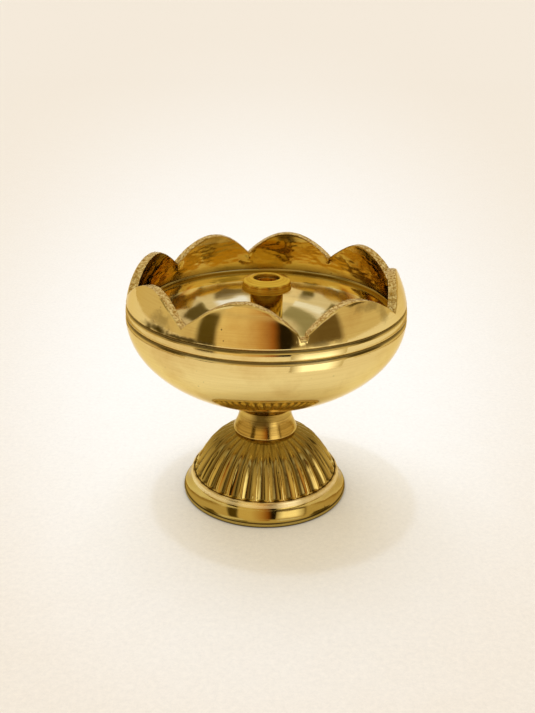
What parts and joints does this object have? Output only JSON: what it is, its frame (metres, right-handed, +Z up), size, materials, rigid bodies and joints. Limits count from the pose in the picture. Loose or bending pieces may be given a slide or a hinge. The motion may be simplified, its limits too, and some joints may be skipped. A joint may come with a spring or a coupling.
{
  "type": "pedestal oil lamp",
  "caption": "Footed brass oil lamp: a deep bowl with a petal rim and a lift-out wick holder, on a turned neck and a hollow fluted foot.",
  "frame": {"origin": "centre of the ring that the foot rests on, on the surface it stands on", "axes": "+Z up through the wick hole, -Y towards the front petal of the picture, +X to its right"},
  "size_m": [0.08, 0.08, 0.0718],
  "materials": {
    "cast_brass": "cast, turned and polished, with fine turning lines, pits and light tarnish",
    "turned_brass": "turned bar, bright with fine turning lines",
    "plain_brass": "plain machined, dulled",
    "plated_steel": "zinc plated, satin",
    "black_rubber": "matt moulded"
  },
  "bodies": {
    "lamp": {"foot": "cast_brass", "neck_collar": "turned_brass", "bowl": "cast_brass", "base_washer": "plated_steel", "tie_bolt": "plated_steel", "seal_washer": "black_rubber", "clamp_washer": "plain_brass", "clamp_nut": "plain_brass"},
    "wick_holder": {"wick_stem": "turned_brass", "wick_ring": "turned_brass"}
  },
  "joints": [
    {"name": "wick_holder_lift", "type": "slide", "parent": "lamp", "child": "wick_holder", "axis": [0, 0, 1], "range_m": [0, 0.04]}
  ]
}
